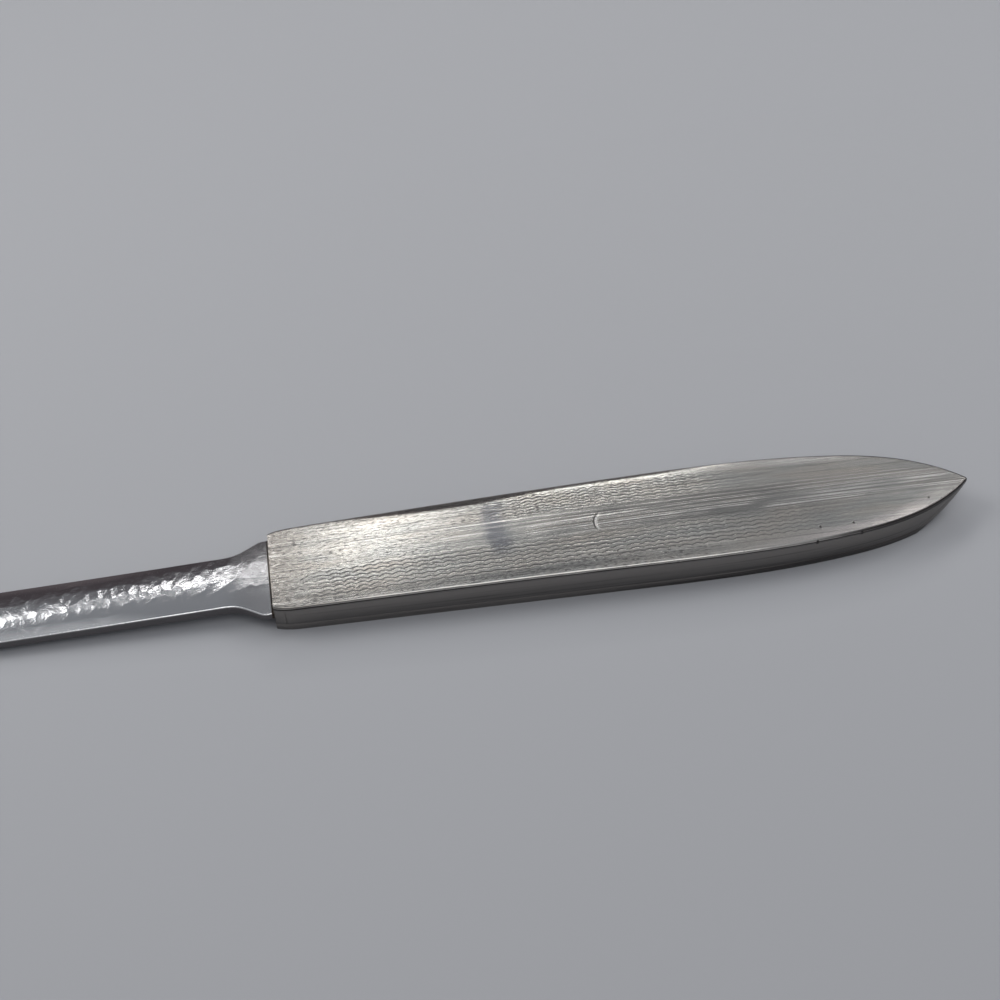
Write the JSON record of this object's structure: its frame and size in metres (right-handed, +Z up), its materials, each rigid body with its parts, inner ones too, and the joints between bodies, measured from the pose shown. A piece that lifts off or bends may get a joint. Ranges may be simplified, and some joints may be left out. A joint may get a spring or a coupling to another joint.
{
  "type": "letter opener",
  "caption": "Letter opener with a slim polished steel blade, a flared shoulder and a thick leaf-shaped metal handle that ends in a point, held by a flush pin.",
  "frame": {"origin": "middle of the whole length, on the flat underside that the opener lies on", "axes": "+X from the blade's tip to the handle's point, +Y to the left seen from the blade, +Z up out of the handle's back plate"},
  "size_m": [0.218, 0.0166, 0.0057],
  "materials": {
    "stainless_steel": "polished",
    "nickel_silver": "sanded lengthwise",
    "cement": "matt"
  },
  "bodies": {
    "root": {"blade": "stainless_steel", "handle_back_plate": "nickel_silver", "handle_front_plate": "nickel_silver", "handle_left_strip": "nickel_silver", "handle_right_strip": "nickel_silver", "handle_end_plate": "nickel_silver", "handle_cement": "cement", "tang_pin": "nickel_silver"}
  },
  "joints": []
}
